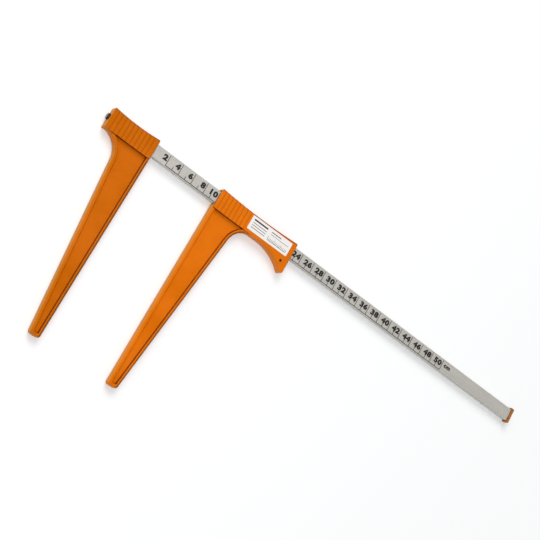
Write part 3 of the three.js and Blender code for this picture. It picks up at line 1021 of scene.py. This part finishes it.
@dataclass
class FixedJaw(Jaw):
    """The jaw that is fixed to the beam's end."""

    node: str = "fixed_jaw"
    body: str = FIXED_BODY
    face: float = SCALE_ZERO - 1.0
    outwards: int = -1
    head_length: float = 68.9
    head_top: float = 13.65
    head_dip: float = 2.0
    fillet: float = 29.0
    rib_start: float = -63.2
    rib_pitch: float = 6.11
    rib_grooves: int = 10
    socket_end: float = -62.2
    socket_gap: float = 0.2
    clamp_places: tuple[float, float] = (-16.0, -48.0)
    clamp_hole: float = 2.9
    screw_hole: float = 2.2

    def far_corner(self, outline: Outline, end: float) -> None:
        """Carry the head's outline round its lower far corner."""
        outline.rounded((end, self.head_bottom), (end, 0.0), self.bottom_corner)

    def cuts(self) -> list[Solid]:
        """Make the cutters of the socket, the screw's hole and the clamp screws' holes.

        Returns:
            The cutters.
        """
        head_end = SCALE_ZERO - 2.0 - self.head_length
        width = around(0.0, BEAM_HALF_WIDTH + self.socket_gap)
        height = around(MID_PLANE, BEAM_HALF_THICKNESS + self.socket_gap)
        cutters = [
            block((SCALE_ZERO + self.socket_end, SCALE_ZERO - 1.0), width, height),
            rod((head_end - 1.0, 0.0, MID_PLANE), Along.RIGHT, 12.0, self.screw_hole),
        ]
        for place in self.clamp_places:
            start = (SCALE_ZERO + place, 0.0, MID_PLANE - BEAM_HALF_THICKNESS)
            cutters.append(rod(start, Along.DOWN, 6.0, self.clamp_hole))
        return cutters


@dataclass
class SlidingJaw(Jaw):
    """The jaw that runs on the beam, with the finger hook at its rear."""

    node: str = "sliding_jaw"
    body: str = SLIDING_BODY
    face: float = SCALE_ZERO + 99.0
    outwards: int = 1
    head_length: float = 125.2
    head_top: float = 13.05
    head_dip: float = 2.25
    fillet: float = 26.0
    rib_start: float = 106.2
    rib_pitch: float = 6.21
    rib_grooves: int = 8
    finger_start: float = 72.5
    finger_radius: float = 81.0
    finger_run: float = 47.0
    hook_radius: float = 2.0
    finger_edge: float = 4.0
    bore_gap: float = 0.4
    shoe_seat: float = 16.6
    shoe_lip: float = 5.6
    shoe_roof: float = 10.5
    shoe_floor: float = 10.0
    shoe_half: float = 4.45
    screw_place: float = 8.5
    screw_hole: float = 1.6
    pin_place: Point = (114.4, -18.65)
    pin_hole: float = 1.85
    stem_bottom: float = -22.15
    stem_half: Point = (3.65, 1.95)
    spring_floor: float = 5.25
    spring_half: Point = (22.0, 4.15)

    def far_corner(self, outline: Outline, end: float) -> None:
        """Carry the head's outline along the finger curve and round the hook.

        Args:
            outline: the outline so far.
            end: where the head ends.
        """
        centre = (self.head_lead + self.finger_start, self.head_bottom - self.finger_radius)
        turn = math.asin(self.finger_run / self.finger_radius)
        beyond = end - centre[0] - self.finger_run
        hook_y = centre[1] + self.finger_radius * math.cos(turn) - beyond * math.tan(turn)
        outline.arc(centre, self.finger_radius, math.pi / 2, math.pi / 2 - turn, 26)
        outline.rounded((end, hook_y), (end, 0.0), self.hook_radius, 7)

    def head_edges(self, outline: Outline) -> list[float]:
        """Widen the rounding along the finger curve.

        Args:
            outline: the head's outline.

        Returns:
            The edge radius at each point.
        """
        widths = []
        for plain, (u, y) in zip(super().head_edges(outline), outline.points):
            along = (u - self.head_lead - self.finger_start) / self.finger_run
            inside = y < self.head_bottom + 0.01 and 0.0 <= along <= 1.0
            rise = math.sin(math.pi * min(1.0, max(0.0, along))) ** 0.6 if inside else 0.0
            widths.append(plain + (self.finger_edge - plain) * rise)
        return widths

    def cuts(self) -> list[Solid]:
        """Make the cutters of the bore, the shoes' seats, the screws' and the pin's holes.

        Returns:
            The cutters.
        """
        front = SCALE_ZERO + READING
        rear = front + self.head_length
        width = around(0.0, BEAM_HALF_WIDTH + self.bore_gap)
        height = around(MID_PLANE, BEAM_HALF_THICKNESS + self.bore_gap)
        cutters = [block((front - 2.0, rear + 1.0), width, height)]
        levels = around(MID_PLANE, self.shoe_half)
        for seat in ((front - 2.0, front + self.shoe_seat), (rear - self.shoe_seat, rear + 2.0)):
            cutters.append(block(seat, (self.shoe_lip, self.shoe_roof), levels))
            cutters.append(block(seat, (-self.shoe_floor, -self.shoe_lip), levels))
        for middle in (front + self.screw_place, rear - self.screw_place):
            cutters.append(rod((middle, BEAM_HALF_WIDTH, MID_PLANE), Along.ACROSS, 6.0, self.screw_hole))
        pin_x = front + self.pin_place[0]
        half_length, half_height = self.stem_half
        stem = (around(pin_x, half_length), (self.stem_bottom, -BEAM_HALF_WIDTH))
        cutters.append(block(*stem, around(MID_PLANE, half_height)))
        cutters.append(rod((pin_x, self.pin_place[1], -1.0), Along.UP, 16.0, self.pin_hole))
        half_length, half_width = self.spring_half
        bed = (around(front + self.head_length / 2, half_length), around(0.0, half_width))
        cutters.append(block(*bed, (MID_PLANE - self.spring_floor, MID_PLANE - BEAM_HALF_THICKNESS)))
        return cutters


@dataclass
class ScalePrint:
    """The printed scale: a base line, a tick at each centimetre, even numbers and the unit."""

    ink: Material
    top: float = 10.25
    thickness: float = 0.04
    base_y: float = -7.55
    first_cm: int = 2
    last_cm: int = 50
    line: float = 0.8
    long_tick: float = 14.6
    short_tick: float = 4.7
    number_base: float = 4.65
    number_height: float = 8.1
    number_gap: float = 1.3
    number_weight: float = 0.065
    letter_spacing: float = 1.13
    stretch: float = 1.22
    unit_start: float = 503.5
    unit_height: float = 4.4
    unit_base: float = 6.4
    unit_weight: float = 0.06

    def lines(self) -> Piece:
        """Build the base line and the ticks.

        Returns:
            The piece.
        """
        half = self.line / 2
        first, last = 10.0 * self.first_cm, 10.0 * self.last_cm
        spans = [((first - half, last + half), (-half, half))]
        for centimetre in range(self.first_cm, self.last_cm + 1):
            tick = self.short_tick if centimetre % 2 else self.long_tick
            spans.append((around(10.0 * centimetre, half), (half + 0.01, tick)))
        placed = [
            (tuple(SCALE_ZERO + end for end in x), tuple(self.base_y + end for end in y)) for x, y in spans
        ]
        print_levels = (self.top, self.top + self.thickness)
        return fitted(strips("scale_lines", placed, print_levels), self.ink, FIXED_BODY)

    def text(self, words: str, height: float, place: Point, ends: bool, weight: float) -> bpy.types.Mesh:
        """Set words in heavy type.

        Args:
            words: what to set.
            height: their height.
            place: where they end or start, and the line that they stand on, from the base line.
            ends: whether the words end at the place, or else start there.
            weight: how much bolder than plain they are.

        Returns:
            Their mesh, in metres.
        """
        curve = bpy.data.curves.new("type", "FONT")
        curve.body = words
        curve.size = 1.0
        curve.offset = weight
        curve.space_character = self.letter_spacing
        curve.extrude = 0.5
        curve.resolution_u = 4
        holder = bpy.data.objects.new("type", curve)
        bpy.context.scene.collection.objects.link(holder)
        graph = bpy.context.evaluated_depsgraph_get()
        mesh = bpy.data.meshes.new_from_object(holder.evaluated_get(graph))
        bpy.data.objects.remove(holder)
        xs = [vertex.co.x for vertex in mesh.vertices]
        ys = [vertex.co.y for vertex in mesh.vertices]
        scale = height / (max(ys) - min(ys))
        wide = scale * self.stretch
        start = place[0] - (max(xs) if ends else min(xs)) * wide
        shift = Matrix.Translation((
            (SCALE_ZERO + start) * MM,
            (self.base_y + place[1] - min(ys) * scale) * MM,
            (self.top + self.thickness / 2) * MM,
        ))
        mesh.transform(shift @ Matrix.Diagonal((wide * MM, scale * MM, self.thickness * MM, 1.0)))
        return mesh

    def numbers(self) -> Piece:
        """Build the numbers and the unit.

        Returns:
            The piece.
        """
        meshes = []
        for centimetre in range(self.first_cm, self.last_cm + 1, 2):
            place = (10.0 * centimetre - self.number_gap, self.number_base)
            meshes.append(self.text(str(centimetre), self.number_height, place, True, self.number_weight))
        unit_place = (self.unit_start, self.unit_base)
        meshes.append(self.text("cm", self.unit_height, unit_place, False, self.unit_weight))
        skin = bmesh.new()
        for mesh in meshes:
            skin.from_mesh(mesh)
            bpy.data.meshes.remove(mesh)
        bmesh.ops.remove_doubles(skin, verts=skin.verts, dist=1e-7)
        return fitted(linked("scale_numbers", skin), self.ink, FIXED_BODY)


@dataclass
class EndCap:
    """The cap at the beam's far end, with a tongue in each cell of the beam."""

    finish: Material
    width: float = 21.7
    height: float = 9.5
    thickness: float = 4.3
    corner: float = 1.5
    start: float = 634.1
    edge: float = 0.7
    recess: float = 2.6
    recess_radius: float = 4.1
    screw_hole: float = 2.2
    tongue_size: Point = (3.95, 3.8)
    tongue_corner: float = 0.5
    tongue_place: float = 5.325
    tongue_length: float = 12.0

    def build(self) -> Piece:
        """Build the cap.

        Returns:
            The piece.
        """
        outline = round_rectangle(self.width, self.height, self.corner)
        base = SCALE_ZERO + self.start
        places = [(0.3, 0.0), (0.08, 0.1), (0.0, 0.3)] + rounded_edge(self.thickness, self.edge, 4)
        rings = []
        for inset, distance in places:
            points = outline.inset([inset] * len(outline.points))
            rings.append([(base + distance, y, MID_PLANE + z) for y, z in points])
        tongues = []
        for side in (-1, 1):
            middle = (side * self.tongue_place, 0.0)
            tongue = round_rectangle(*self.tongue_size, self.tongue_corner, middle)
            ends = (-self.tongue_length, self.thickness / 2)
            tongues.append(Solid("tongue", [
                [(base + x, y, MID_PLANE + z) for y, z in tongue.points] for x in ends
            ]))
        mouth = (base + self.thickness - self.recess, 0.0, MID_PLANE)
        solid = Solid("end_cap_moulding", rings).combine(Join.ADD, tongues).combine(Join.CUT, [
            rod(mouth, Along.RIGHT, 4.0, self.recess_radius),
            rod((base - 1.0, 0.0, MID_PLANE), Along.RIGHT, 8.0, self.screw_hole),
        ])
        return fitted(solid.smoothed(), self.finish, FIXED_BODY, "end_cap")


@dataclass
class Label:
    """The plain label on the sliding head, with ruled lines and a row of ticks.

    Each rule is its height, its start and its end as shares of the label, and its thickness.
    """

    paper: Material
    ink: Material
    corner: float = 1.2
    bevel: float = 0.03
    print_gap: float = 0.004
    print_thickness: float = 0.02
    rules: tuple[tuple[float, ...], ...] = (
        (0.79, 0.06, 0.40, 2.0),
        (0.58, 0.06, 0.40, 0.7),
        (0.41, 0.06, 0.40, 0.7),
        (0.24, 0.06, 0.40, 0.7),
        (0.79, 0.50, 0.74, 1.0),
        (0.62, 0.50, 0.94, 0.5),
        (0.18, 0.48, 0.94, 0.5),
    )
    tick_count: int = 15
    tick_half: float = 0.25
    tick_start: Point = (0.48, 0.18)
    tick_run: float = 0.46
    short_tick: float = 3.0
    long_tick: float = 4.6

    def build(self) -> list[Piece]:
        """Build the label and its print.

        Returns:
            The two pieces.
        """
        low, high = (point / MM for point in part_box("label"))
        width, height = high.x - low.x, high.y - low.y
        middle = (low + high) / 2
        outline = round_rectangle(width, height, self.corner, (middle.x, middle.y), 6)
        top = high.z - self.print_gap - self.print_thickness
        rings = []
        for inset, level in ((0.0, low.z), (0.0, top - self.bevel), (self.bevel, top)):
            rings.append([(*point, level) for point in outline.inset([inset] * len(outline.points))])
        paper = Solid("blank_label", rings).smoothed()
        fitted(paper, self.paper, SLIDING_BODY, "label")
        spans = []
        for share, start, end, thick in self.rules:
            ends = (low.x + width * start, low.x + width * end)
            spans.append((ends, around(low.y + height * share, thick / 2)))
        for tick in range(self.tick_count):
            x = low.x + width * self.tick_start[0] + tick * width * self.tick_run / (self.tick_count - 1)
            y = low.y + height * self.tick_start[1] + 0.25
            tall = self.short_tick if tick % 5 else self.long_tick
            spans.append((around(x, self.tick_half), (y + 0.01, y + tall)))
        level = top + self.print_gap
        rules = strips("label_rules", spans, (level, level + self.print_thickness))
        return [paper, fitted(rules, self.ink, SLIDING_BODY)]


@dataclass
class RoundPiece:
    """A turned piece, such as a screw, a pin or a ring.

    Its profile is pairs of a distance from the piece's foot, or back from its far end below 0,
    and a radius. A ring's profile closes on itself. A socket is its width and its depth.
    """

    name: str
    node: str
    body: str
    slot: str
    finish: Material
    along: Along
    profile: Sequence[Point]
    socket: Point | None = None
    ring: bool = False
    sides: int = 48
    sharp_angle: float = 40.0

    def build(self) -> Piece:
        """Turn the piece inside its node's box, and cut its hexagon socket.

        Returns:
            The piece.
        """
        low, high = (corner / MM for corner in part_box(self.node))
        axis = Vector(self.along.value)
        span = abs((high - low).dot(axis))
        start = (low + high) / 2 - axis * (span / 2)
        profile = [(place if place >= 0 else span + place, radius) for place, radius in self.profile]
        solid = Solid(self.name, turned_rings(profile, tuple(start), self.along, self.sides), not self.ring)
        if self.socket:
            width, depth = self.socket
            mouth = tuple(start + axis * (span - depth))
            corner = width / 2 / math.cos(math.pi / 6)
            solid.combine(Join.CUT, [rod(mouth, self.along, depth + 1.0, corner, 6)])
        return fitted(solid.smoothed(self.sharp_angle), self.finish, self.body, self.node)


@dataclass
class Fasteners:
    """Screws, their washer and inserts, and the pin of the rear shoe."""

    steel: Material
    dark_steel: Material
    end_highlight_steel: Material
    brass: Material
    head: float = 2.2
    head_radius: float = 3.9
    shank: float = 2.0
    head_round: float = 0.5
    head_chamfer: float = 0.15
    head_socket: Point = (3.0, 1.4)

    def headed(self) -> list[Point]:
        """Give the profile of a screw with a cheese head.

        Returns:
            The profile.
        """
        shank, radius, chamfer, curve = self.shank, self.head_radius, self.head_chamfer, self.head_round
        profile = [(0.0, shank - 0.5), (0.5, shank), (-self.head, shank)]
        profile += [(-self.head, radius - chamfer), (chamfer - self.head, radius)]
        for step in range(5):
            angle = math.pi / 8 * step
            distance = -curve + curve * math.sin(angle) + FAR_END
            profile.append((distance, radius - curve * (1 - math.cos(angle))))
        return profile

    def ring(self, inner: float, outer: float, length: float) -> list[Point]:
        """Give the profile of a ring with small chamfers.

        Args:
            inner: its inner radius.
            outer: its outer radius.
            length: its length.

        Returns:
            The profile.
        """
        cut = 0.15
        return [(cut, inner), (0.0, inner + cut), (0.0, outer - cut), (cut, outer),
                (length - cut, outer), (length, outer - cut), (length, inner + cut), (length - cut, inner)]

    def grub(self, radius: float) -> list[Point]:
        """Give the profile of a screw without a head."""
        return [(0.0, radius - 0.25), (0.25, radius), (-0.2, radius), (FAR_END, radius - 0.2)]

    def build(self) -> list[Piece]:
        """Build every fastener.

        Returns:
            The pieces.
        """
        headed, key = self.headed(), self.head_socket
        dark, black, fixed = self.dark_steel, "dark_steel", FIXED_BODY
        pin = [(0.0, 1.35), (0.4, 1.75), (-0.4, 1.75), (-0.12, 1.6), (FAR_END, 1.35)]
        washer, insert = self.ring(2.2, 4.5, 0.8), self.ring(2.1, 2.8, 3.2)
        clamp_screw, play_screw = self.grub(2.0), self.grub(1.5)
        plans = [
            ("fixed_head_screw", "fixed_jaw_screw", fixed, black, self.end_highlight_steel, Along.LEFT, headed, key),
            ("cap_screw", "end_cap_screw", fixed, "steel", self.steel, Along.RIGHT, headed, key),
            ("fixed_head_washer", "fixed_jaw_washer", fixed, black, dark, Along.LEFT, washer, None, True),
        ]
        for place in ("inner", "outer"):
            names = (f"brass_insert_{place}", f"clamp_insert_{place}", fixed)
            plans.append((*names, "brass", self.brass, Along.DOWN, insert, None, True))
            names = (f"grub_screw_{place}", f"clamp_screw_{place}", fixed)
            plans.append((*names, black, dark, Along.DOWN, clamp_screw, (2.0, 1.5)))
        for place in ("front", "rear"):
            names = (f"{place}_play_screw", f"{place}_adjusting_screw", f"{place}_adjuster")
            plans.append((*names, black, dark, Along.ACROSS, play_screw, (1.5, 1.0)))
        plans.append(("shoe_pin", "rear_shoe_pin", SLIDING_BODY, black, dark, Along.UP, pin))
        return [RoundPiece(*plan).build() for plan in plans]


@dataclass(frozen=True)
class Lamp:
    """A square lamp that points at the caliper, with its sizes in metres and its power in watts."""

    name: str
    towards: Triple
    size: float
    power: float
    distance: float = 4.5
    middle: Triple = (0.32, -0.08, 0.0)

    def hang(self) -> None:
        """Hang the lamp at its distance from the caliper's middle."""
        data = bpy.data.lights.new(self.name, "AREA")
        data.size = self.size
        data.energy = self.power
        lamp = bpy.data.objects.new(self.name, data)
        direction = Vector(self.towards).normalized()
        lamp.location = Vector(self.middle) + direction * self.distance
        lamp.rotation_mode = "QUATERNION"
        lamp.rotation_quaternion = direction.to_track_quat("Z", "Y")
        bpy.context.scene.collection.objects.link(lamp)


@dataclass
class Studio:
    """The camera, the floor and the lights."""

    position: Triple = (-417.17, -502.14, 1551.24)
    target: Triple = (246.67, -35.96, 10.24)
    roll: float = -87.904
    focal_pixels: float = 1371.0
    frame_pixels: float = 540.0
    sensor: float = 36.0
    clip: Point = (0.05, 20.0)
    floor_half: float = 6.0
    world_light: float = 0.4
    lamps: tuple[Lamp, ...] = (
        Lamp("key", (-0.27, -0.24, 0.93), 1.6, 90.0),
        Lamp("side", (-0.4, 0.6, 0.69), 2.6, 98.0),
    )

    def camera(self) -> None:
        """Place the camera at the photograph's viewpoint."""
        data = bpy.data.cameras.new("camera")
        data.sensor_width = self.sensor
        data.lens = self.focal_pixels / self.frame_pixels * self.sensor
        data.clip_start, data.clip_end = self.clip
        position = Vector(self.position)
        back = (position - Vector(self.target)).normalized()
        upright = (Vector((0.0, 0.0, 1.0)) - back * back.z).normalized()
        angle = math.radians(self.roll)
        up = upright * math.cos(angle) + upright.cross(back) * math.sin(angle)
        camera = bpy.data.objects.new("camera", data)
        axes = Matrix((up.cross(back), up, back)).transposed().to_4x4()
        camera.matrix_world = Matrix.Translation(position * MM) @ axes
        bpy.context.scene.collection.objects.link(camera)
        bpy.context.scene.camera = camera

    def floor(self) -> None:
        """Lay a white floor that keeps the object's shadow."""
        ends = around(0.0, self.floor_half)
        mesh = bpy.data.meshes.new("floor")
        mesh.from_pydata([(*corner, 0.0) for corner in rectangle(ends, ends)], [], [(0, 1, 2, 3)])
        floor = bpy.data.objects.new("floor", mesh)
        bpy.context.scene.collection.objects.link(floor)
        coat(floor, FloorWhite("floor_white").material())

    def world(self) -> None:
        """Light everything softly, and show white behind it."""
        world = bpy.data.worlds.new("studio")
        bpy.context.scene.world = world
        world.use_nodes = True
        shading = Shading(world.node_tree)
        dim = shading.add("ShaderNodeBackground", {"Color": WHITE, "Strength": self.world_light})
        white = shading.add("ShaderNodeBackground", {"Color": WHITE, "Strength": 1.0})
        mixed = shading.mixed(shading.ray("Camera"), dim, white)
        shading.add("ShaderNodeOutputWorld", {"Surface": mixed})

    def build(self) -> None:
        """Set up the whole studio."""
        self.camera()
        self.floor()
        self.world()
        for lamp in self.lamps:
            lamp.hang()
        bpy.context.scene.view_settings.view_transform = "Standard"


def main() -> None:
    """Build and dress the caliper, piece by piece."""
    logging.basicConfig(level=logging.INFO, format="%(name)s: %(message)s")
    Studio().build()
    orange_fixed = MouldedPlastic("orange_fixed_jaw", (0.55, 0.122, 0.0015)).material()
    orange_sliding = MouldedPlastic("orange_sliding_jaw", (0.67, 0.147, 0.0015)).material()
    cap_plastic = MouldedPlastic("brown_orange_cap", (0.36, 0.13, 0.03)).material()
    aluminium = AnodisedBar("anodised_beam").material()
    steel = BareMetal("turned_steel", (0.62, 0.62, 0.61), (0.33, 0.32, 0.31)).material()
    black = {"colour": (0.05, 0.05, 0.052), "metallic": 0.8, "roughness": 0.42}
    dark_steel = BareMetal("blackened_steel", **black).material()
    # Blackened steel with a painted highlight on its end face that faces -x, used for the fixed head's screw.
    end_highlight_steel = BareMetal("end_highlight_steel", end_highlight=0.9, **black).material()
    rolled = Pattern((4.0, 0.15, 0.15))
    spring_steel = BareMetal(
        "spring_steel", (0.42, 0.42, 0.43), (0.2, 0.19, 0.19), roughness=0.3, marks=rolled
    ).material()
    brass = BareMetal("brass", (0.62, 0.42, 0.14), (0.34, 0.21, 0.07), roughness=0.34).material()
    nylon = Nylon("black_nylon").material()
    ink = Ink("scale_ink").material()
    label_ink = Ink("label_ink", (0.008, 0.008, 0.012), (0.12, 0.12, 0.13)).material()
    paper = LabelPaper("label_paper_white").material()

    kept = {"beam": aluminium, "friction_spring": spring_steel}
    for side in ("lower", "upper"):
        for end in ("front", "rear"):
            kept[f"{end}_{side}_shoe"] = nylon
    for name, finish in kept.items():
        coat(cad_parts[name], finish)
        log.info("finished %s", name)

    scale = ScalePrint(ink)
    pieces = [
        FixedJaw(orange_fixed).build(),
        SlidingJaw(orange_sliding).build(),
        scale.lines(),
        scale.numbers(),
        EndCap(cap_plastic).build(),
        *Label(paper, label_ink).build(),
        *Fasteners(steel, dark_steel, end_highlight_steel, brass).build(),
    ]
    for piece in pieces:
        log.info("built %s, %d faces", piece.name, len(piece.data.polygons))


if __name__ == "__main__":
    main()
